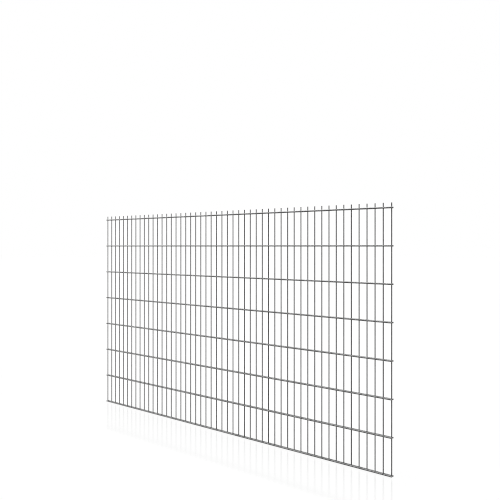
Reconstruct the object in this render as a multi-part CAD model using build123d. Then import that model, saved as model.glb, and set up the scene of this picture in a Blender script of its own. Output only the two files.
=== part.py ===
from build123d import *
import os

# Double-wire welded mesh fence panel, in millimetres.
# X runs along the panel, Y through it from the front to the back, and Z up.
# The origin is at the bottom, on the cut end of the middle vertical wire.

# The whole panel, from cut end to cut end of its wires.
panel_length = 2510.0
panel_height = 1430.0

# Wire gauges: single vertical wires between rows of two horizontal ones.
vertical_wire_diameter = 6.0
horizontal_wire_diameter = 8.0

# How far the wires run past the outermost crossings, from centre line to cut end.
spike_length = 26.0
side_overhang = 5.0

# The mesh has whole gaps only, so these are met exactly where the panel is made to fit them.
vertical_wire_spacing = 50.0
row_spacing = 200.0

# Like vertical wires that share one file.
vertical_wires_per_file = 3

# The vertical wires end level with the underside of the bottom row.
bottom_row_height = horizontal_wire_diameter / 2

# Between the centre lines of the outermost wires.
mesh_length = panel_length - 2 * side_overhang
mesh_height = panel_height - spike_length - bottom_row_height
gaps_along = round(mesh_length / vertical_wire_spacing)
gaps_up = round(mesh_height / row_spacing)
vertical_wire_count = gaps_along + 1
row_count = gaps_up + 1

# The horizontal wires lie on the vertical ones, one on each side, and touch them at every weld.
layer_distance = (vertical_wire_diameter + horizontal_wire_diameter) / 2


def vertical_wire(number):
    """A vertical wire, counted from 1 at the left, from its lower cut end to its spike."""
    x = -mesh_length / 2 + (number - 1) * mesh_length / gaps_along
    foot = Plane(origin=(x, 0, 0), z_dir=(0, 0, 1))
    return extrude(foot * Circle(vertical_wire_diameter / 2), amount=panel_height)


def horizontal_wire(row, layer_y):
    """A horizontal wire of a row, counted from 1 at the bottom, from its left end to its right."""
    height = bottom_row_height + (row - 1) * mesh_height / gaps_up
    left_end = Plane(origin=(-panel_length / 2, layer_y, height), z_dir=(1, 0, 0))
    return extrude(left_end * Circle(horizontal_wire_diameter / 2), amount=panel_length)


def vertical_wire_groups():
    """Neighbouring vertical wires that share a file, which never touch each other."""
    groups = {}
    for first in range(1, vertical_wire_count + 1, vertical_wires_per_file):
        last = min(first + vertical_wires_per_file - 1, vertical_wire_count)
        wires = [vertical_wire(number) for number in range(first, last + 1)]
        groups[f"vertical_wires_{first:02d}_{last:02d}"] = Compound(wires)
    return groups


def horizontal_wires():
    """The front and the back wire of each row, each in a file of its own."""
    wires = {}
    for row in range(1, row_count + 1):
        wires[f"horizontal_wire_front_{row}"] = horizontal_wire(row, -layer_distance)
        wires[f"horizontal_wire_back_{row}"] = horizontal_wire(row, layer_distance)
    return wires


nodes = {**vertical_wire_groups(), **horizontal_wires()}

os.makedirs("parts", exist_ok=True)
for name, shape in nodes.items():
    shape.label = name
    export_step(shape, f"parts/{name}.step")

print(f"{vertical_wire_count} vertical wires, {row_count} rows, {len(nodes)} files")
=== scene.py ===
import math
import random

import bmesh
import bpy
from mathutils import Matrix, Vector


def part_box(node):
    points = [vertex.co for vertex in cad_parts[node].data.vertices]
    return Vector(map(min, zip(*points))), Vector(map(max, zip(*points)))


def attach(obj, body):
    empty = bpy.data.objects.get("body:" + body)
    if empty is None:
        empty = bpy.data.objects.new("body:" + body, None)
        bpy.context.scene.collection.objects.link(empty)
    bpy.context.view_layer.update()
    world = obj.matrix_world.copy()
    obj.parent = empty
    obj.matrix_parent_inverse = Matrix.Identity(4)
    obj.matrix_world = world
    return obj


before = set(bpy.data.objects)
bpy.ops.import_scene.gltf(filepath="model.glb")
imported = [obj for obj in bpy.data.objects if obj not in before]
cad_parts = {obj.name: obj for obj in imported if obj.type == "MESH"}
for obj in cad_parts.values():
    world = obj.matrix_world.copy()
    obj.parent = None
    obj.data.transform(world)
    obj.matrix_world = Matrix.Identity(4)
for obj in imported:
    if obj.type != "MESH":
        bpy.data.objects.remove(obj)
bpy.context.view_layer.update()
print("frame loaded,", len(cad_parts), "nodes")


# Helpers for objects and shader nodes

nodeStep = 200  # from one node to the next in the node editor


def grey(level):
    return (level, level, level, 1)


def addObject(name, data):
    added = bpy.data.objects.new(name, data)
    bpy.context.scene.collection.objects.link(added)
    return added


def setInputs(tree, node, inputs):
    # an input, given by its name or number, takes a fixed value or what another node puts out
    for socket, value in inputs.items():
        if isinstance(value, bpy.types.NodeSocket):
            tree.links.new(value, node.inputs[socket])
        else:
            node.inputs[socket].default_value = value


def addNode(tree, kind, inputs, **options):
    node = tree.nodes.new(kind)
    node.location.x = nodeStep * len(tree.nodes)
    for name, value in options.items():
        setattr(node, name, value)
    setInputs(tree, node, inputs)
    return node


def mathNode(tree, operation, *terms, **options):
    return addNode(tree, "ShaderNodeMath", dict(enumerate(terms)), operation=operation, **options).outputs[0]


def rangeNode(tree, source, fromRange, toRange):
    ends = zip(("From Min", "From Max", "To Min", "To Max"), (*fromRange, *toRange))
    return addNode(tree, "ShaderNodeMapRange", {"Value": source, **dict(ends)}).outputs["Result"]


def mixNode(tree, share, first, second):
    return addNode(tree, "ShaderNodeMixShader", {0: share, 1: first, 2: second}).outputs[0]


def seenDirectly(tree):
    # 1 on what the camera sees straight, by a gloss or through glass, and 0 in the light that it gives
    rays = addNode(tree, "ShaderNodeLightPath", {}).outputs
    straightOrMirrored = mathNode(tree, "ADD", rays["Is Camera Ray"], rays["Is Glossy Ray"])
    return mathNode(tree, "ADD", straightOrMirrored, rays["Is Transmission Ray"], use_clamp=True)


# Camera, in front of the panel and past its right end, at the height of the seventh row

cameraSettings = {
    "place": (3.0548, -3.0501, 1.2021),
    "turn": 42.629,  # degrees to the left of looking straight through the mesh
    "lens": 47.925,  # millimetres
    "shiftUp": -0.00763,
    "sight": 200,  # metres, past the far edge of the floor
}


def makeCamera(settings):
    data = bpy.data.cameras.new("camera")
    data.lens = settings["lens"]
    data.shift_y = settings["shiftUp"]
    data.clip_end = settings["sight"]
    camera = addObject("camera", data)
    camera.location = settings["place"]
    camera.rotation_euler = (math.radians(90), 0, math.radians(settings["turn"]))  # held level
    bpy.context.scene.camera = camera


makeCamera(cameraSettings)
bpy.context.scene.view_settings.view_transform = "Standard"
bpy.context.scene.cycles.pixel_filter_type = "BOX"  # keeps thin wires crisp
print("camera set")


# Surroundings: white wherever they are seen, with a soft light that is brightest overhead

skySettings = {
    "light": 0.48,  # straight up, fading to none at the horizon
}


def makeSky(settings):
    world = bpy.data.worlds.new("studio")
    bpy.context.scene.world = world
    world.use_nodes = True
    tree = world.node_tree
    tree.nodes.clear()
    direction = addNode(tree, "ShaderNodeTexCoord", {}).outputs["Generated"]
    upward = addNode(tree, "ShaderNodeSeparateXYZ", {0: direction}).outputs["Z"]
    strength = rangeNode(tree, upward, (0, 1), (0, settings["light"]))
    light = addNode(tree, "ShaderNodeBackground", {"Color": grey(1), "Strength": strength})
    white = addNode(tree, "ShaderNodeBackground", {"Color": grey(1)})
    surface = mixNode(tree, seenDirectly(tree), light.outputs[0], white.outputs[0])
    addNode(tree, "ShaderNodeOutputWorld", {0: surface})


makeSky(skySettings)
print("surroundings made")


# Floor: white in the picture, and faintly glossy beside the panel

floorSettings = {
    "halfSide": 60.0,  # metres
    "paint": 0.03,  # so dark that the panel's shadow hardly shows
    "lift": (0.938, 0.996),  # the glow that makes it white, under the lamps and far from them
    "liftFrom": (1.0, 16.0),  # metres from the middle of the mesh
    "bounce": 0.05,  # the floor's paint as the wires' undersides see it
    "gloss": 0.185,
    "glossReach": 0.48,  # metres from the mesh at which the gloss has faded out
    "glossFall": 0.25,  # under 1, so most of the fading comes at the end of the reach
    "dullFoot": 0.08,  # metres from the mesh within which the floor is worn dull
    "roughness": 0.13,
}


def floorMaterial(settings):
    material = bpy.data.materials.new("floorPaint")
    material.use_nodes = True
    tree = material.node_tree
    tree.nodes.clear()
    place = addNode(tree, "ShaderNodeTexCoord", {}).outputs["Object"]

    far = addNode(tree, "ShaderNodeVectorMath", {0: place}, operation="LENGTH").outputs["Value"]
    glow = rangeNode(tree, far, settings["liftFrom"], settings["lift"])
    lift = addNode(tree, "ShaderNodeEmission", {"Strength": glow})
    paint = addNode(tree, "ShaderNodeBsdfDiffuse", {"Color": grey(settings["paint"])})
    white = addNode(tree, "ShaderNodeAddShader", {0: paint.outputs[0], 1: lift.outputs[0]})

    across = addNode(tree, "ShaderNodeSeparateXYZ", {0: place}).outputs["Y"]
    away = mathNode(tree, "ABSOLUTE", across)
    near = rangeNode(tree, away, (0, settings["glossReach"]), (1, 0))
    fall = mathNode(tree, "POWER", near, settings["glossFall"])
    foot = rangeNode(tree, away, (0, settings["dullFoot"]), (0, settings["gloss"]))
    share = mathNode(tree, "MULTIPLY", fall, foot)
    gloss = addNode(tree, "ShaderNodeBsdfGlossy", {"Color": grey(1), "Roughness": settings["roughness"]})
    polished = mixNode(tree, share, white.outputs[0], gloss.outputs[0])

    bounce = addNode(tree, "ShaderNodeBsdfDiffuse", {"Color": grey(settings["bounce"])})
    surface = mixNode(tree, seenDirectly(tree), bounce.outputs[0], polished)
    addNode(tree, "ShaderNodeOutputMaterial", {0: surface})
    return material


def makeFloor(settings):
    shape = bmesh.new()
    bmesh.ops.create_grid(shape, x_segments=1, y_segments=1, size=settings["halfSide"])
    mesh = bpy.data.meshes.new("floor")
    shape.to_mesh(mesh)
    shape.free()
    mesh.materials.append(floorMaterial(settings))
    floor = addObject("floor", mesh)
    return floor


floor = makeFloor(floorSettings)
print("floor made")


# Lamps: a wide one high over the panel, and a tall one off each end that draws a soft line down the
# vertical wires

lampSettings = {
    "aim": (0.0, 0.0, 1.1),
    "lamps": {  # places and sizes in metres
        "lampOverhead": {"place": (0.0, -0.1, 12.0), "size": (8.0, 4.0), "watts": 3300, "lightsFloor": True},
        "lampLeft": {"place": (-3.4, -1.6, 2.4), "size": (0.8, 2.2), "watts": 36, "lightsFloor": False},
        "lampRight": {"place": (3.4, 1.6, 2.4), "size": (0.8, 2.2), "watts": 36, "lightsFloor": False},
    },
}


def makeLamp(name, settings, aim, floor):
    data = bpy.data.lights.new(name, "AREA")
    data.shape = "RECTANGLE"
    data.size, data.size_y = settings["size"]
    data.energy = settings["watts"]
    lamp = addObject(name, data)
    lamp.location = settings["place"]
    lamp.rotation_euler = (Vector(aim) - Vector(settings["place"])).to_track_quat("-Z", "Y").to_euler()
    if not settings["lightsFloor"]:
        # without this, the glossy floor would mirror the lamp
        passedBy = bpy.data.collections.new(name + "PassesBy")
        passedBy.objects.link(floor)
        passedBy.collection_objects[0].light_linking.link_state = "EXCLUDE"
        lamp.light_linking.receiver_collection = passedBy


for lampName, lampValues in lampSettings["lamps"].items():
    makeLamp(lampName, lampValues, lampSettings["aim"], floor)
print(len(lampSettings["lamps"]), "lamps made")


# Hot-dip galvanised finish, in which each Scale is a count to the metre

zincSettings = {
    "dark": 0.066,  # the darkest and the lightest zinc
    "light": 0.262,
    "uprightPaintedShade": 0.88,  # painted shade: the vertical wires' zinc is made darker than the horizontal wires' to stand in for the lesser light on them
    "weldShade": 0.9,  # the zinc at the welds, against that on the horizontal wires
    "metallic": 0.1,
    "smoothest": 0.3,
    "roughest": 0.62,
    "clouds": {"Scale": 34, "Detail": 3},  # large soft patches
    "crystals": {"Scale": 450},
    "drawnLines": {"Scale": 900, "Detail": 2},  # fine lines left by the drawing die
    "drawnLength": 0.03,  # how much slower these change along the wire than round it
    "waves": {"Scale": 160, "Detail": 2},  # thick and thin places in the zinc
    "noiseSpan": (0.3, 0.7),  # most of what a noise texture gives lies between these
    "shares": (0.44, 0.34, 0.22),  # of the clouds, the crystals and the drawn lines in the tone
    "waveDepth": 0.0003,
    "lineDepth": 0.00004,
    "crystalDepth": 0.00004,
}


def zincMaterial(name, along, paintedShadeAndWeldTone, settings):
    # along is the axis that the wire runs on, or None where the zinc set in a blob
    material = bpy.data.materials.new(name)
    material.use_nodes = True
    tree = material.node_tree
    place = addNode(tree, "ShaderNodeTexCoord", {}).outputs["Object"]

    clouds = addNode(tree, "ShaderNodeTexNoise", {"Vector": place, **settings["clouds"]})
    crystals = addNode(tree, "ShaderNodeTexVoronoi", {"Vector": place, **settings["crystals"]})
    crystalTone = addNode(tree, "ShaderNodeSeparateColor", {0: crystals.outputs["Color"]})
    stretch = [settings["drawnLength"] if axis == along else 1 for axis in "XYZ"]
    drawnOut = addNode(tree, "ShaderNodeMapping", {"Vector": place, "Scale": stretch}).outputs[0]
    lines = addNode(tree, "ShaderNodeTexNoise", {"Vector": drawnOut, **settings["drawnLines"]})
    waves = addNode(tree, "ShaderNodeTexNoise", {"Vector": place, **settings["waves"]})

    cloudShare, crystalShare, lineShare = settings["shares"]
    cloudPart = rangeNode(tree, clouds.outputs["Fac"], settings["noiseSpan"], (0, cloudShare))
    crystalPart = mathNode(tree, "MULTIPLY", crystalTone.outputs[0], crystalShare)
    linePart = rangeNode(tree, lines.outputs["Fac"], settings["noiseSpan"], (0, lineShare))
    bloom = mathNode(tree, "ADD", cloudPart, crystalPart)
    wear = mathNode(tree, "ADD", bloom, linePart)
    # the tone is scaled down by painted shade on the vertical wires, and by the welds' own darker zinc
    tone = rangeNode(tree, wear, (0, 1), (settings["dark"] * paintedShadeAndWeldTone, settings["light"] * paintedShadeAndWeldTone))
    sheen = (settings["roughest"], settings["smoothest"])
    roughness = rangeNode(tree, bloom, (0, cloudShare + crystalShare), sheen)

    relief = {}
    for height, depth in (
        (waves.outputs["Fac"], settings["waveDepth"]),
        (lines.outputs["Fac"], settings["lineDepth"]),
        (crystals.outputs["Distance"], settings["crystalDepth"]),
    ):
        bump = addNode(tree, "ShaderNodeBump", {"Height": height, "Distance": depth, **relief})
        relief = {"Normal": bump.outputs[0]}

    coat = {"Base Color": tone, "Metallic": settings["metallic"], "Roughness": roughness, **relief}
    setInputs(tree, tree.nodes["Principled BSDF"], coat)
    return material


# the vertical wires get the same zinc, darkened by painted shade
zincUprightWithPaintedShade = zincMaterial("zincUprightWithPaintedShade", "Z", zincSettings["uprightPaintedShade"], zincSettings)
zincLevel = zincMaterial("zincLevel", "X", 1, zincSettings)
zincWeld = zincMaterial("zincWeld", None, zincSettings["weldShade"], zincSettings)
for nodeName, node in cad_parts.items():
    node.data.materials.clear()
    node.data.materials.append(zincUprightWithPaintedShade if nodeName.startswith("vertical") else zincLevel)
print("wires coated")


# Welds: the squeezed-out metal and zinc round each point where two wires touch, in metres

weldSettings = {
    "sides": 12,
    "reachAlong": 0.0034,  # on a wire, along it
    "reachRound": 0.0024,  # on a wire, round it
    "waist": 0.0024,  # midway between the two wires
    "bite": 0.00015,  # how far the edges go into the wires
    "growth": (0.84, 1.1),  # smallest and largest weld, against the reaches above
    "uneven": 0.07,  # how far the points of a ring stray from its size, as a share of it
    "seed": 11,
    "listAlong": (1, 0.1, 0.01),  # the line that the faces of a row are sorted along
}


def nodeNames(start):
    return sorted(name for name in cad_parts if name.startswith(start))


def middle(name):
    low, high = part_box(name)
    return [(low[axis] + high[axis]) / 2 for axis in range(3)]


def radiusOf(name, across):
    # across is the axis to measure the wire on, square to its length
    low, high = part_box(name)
    axis = "XYZ".index(across)
    return (high[axis] - low[axis]) / 2


def uprightPlaces(radius):
    # the wires of a node are evenly spaced, and its name ends with the first and last one's number
    places = []
    for name in nodeNames("vertical_wires_"):
        low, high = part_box(name)
        first, last = (int(number) for number in name.split("_")[-2:])
        step = (high[0] - low[0] - 2 * radius) / (last - first)
        places += [low[0] + radius + step * count for count in range(last - first + 1)]
    return places


def collarRings(shape, sides):
    # three rings on top of each other, joined by walls and closed by a lid at each end
    verts = bmesh.ops.create_circle(shape, cap_ends=True, segments=sides, radius=1)["verts"]
    rings, lid = [verts], verts[0].link_faces[0]
    for _ in range(2):
        # the lid's edges go too, so that the second extrude doesn't leave a lid inside the collar
        made = bmesh.ops.extrude_face_region(shape, geom=[lid, *lid.edges])["geom"]
        rings.append([item for item in made if isinstance(item, bmesh.types.BMVert)])
        lid = next(item for item in made if isinstance(item, bmesh.types.BMFace))
    return rings


def addWeld(shape, x, z, levelAway, levelRadius, uprightRadius, dice, settings):
    # a waisted collar at x, z that fills the corners between a vertical wire, whose centre line is on y = 0,
    # and a horizontal one, whose centre line is at y = levelAway
    growth, bite = dice.uniform(*settings["growth"]), settings["bite"]
    along, around, waist = settings["reachAlong"], settings["reachRound"], settings["waist"]

    def levelSkin(up):
        return abs(levelAway) - math.sqrt(levelRadius ** 2 - up ** 2)

    def uprightSkin(out):
        return math.sqrt(uprightRadius ** 2 - out ** 2)

    levelRing, waistRing, uprightRing = collarRings(shape, settings["sides"])
    ringForms = (
        (levelRing, along, around, lambda out, up: levelSkin(up) + bite),
        (waistRing, waist, waist, lambda out, up: (levelSkin(up) + uprightSkin(out)) / 2),
        (uprightRing, around, along, lambda out, up: uprightSkin(out) - bite),
    )
    for ring, wide, tall, away in ringForms:
        for vert in ring:
            spread = growth * (1 + dice.uniform(-1, 1) * settings["uneven"])
            out, up = wide * spread * vert.co.x, tall * spread * vert.co.y
            vert.co = (x + out, math.copysign(away(out, up), levelAway), z + up)


def weldRow(levelName, places, uprightRadius, material, dice, settings):
    _, levelAway, height = middle(levelName)
    levelRadius = radiusOf(levelName, "Z")
    shape = bmesh.new()
    for x in places:
        addWeld(shape, x, height, levelAway, levelRadius, uprightRadius, dice, settings)
    # extruding lists the walls in an order that changes from run to run, so the faces are sorted by place
    listAlong = Vector(settings["listAlong"])
    shape.faces.sort(key=lambda face: face.calc_center_median().dot(listAlong))
    bmesh.ops.recalc_face_normals(shape, faces=shape.faces)
    for face in shape.faces:
        face.smooth = len(face.verts) == 4  # the walls, and not the lids
    name = levelName.replace("horizontal_wire", "weld_beads")
    mesh = bpy.data.meshes.new(name)
    shape.to_mesh(mesh)
    shape.free()
    mesh.materials.append(material)
    piece = addObject(name, mesh)
    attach(piece, "root")


weldDice = random.Random(weldSettings["seed"])
wireRadius = radiusOf(nodeNames("vertical_wires_")[0], "Y")
weldPlaces = uprightPlaces(wireRadius)
for levelName in nodeNames("horizontal_wire_"):
    weldRow(levelName, weldPlaces, wireRadius, zincWeld, weldDice, weldSettings)
print(len(weldPlaces) * len(nodeNames("horizontal_wire_")), "welds made")
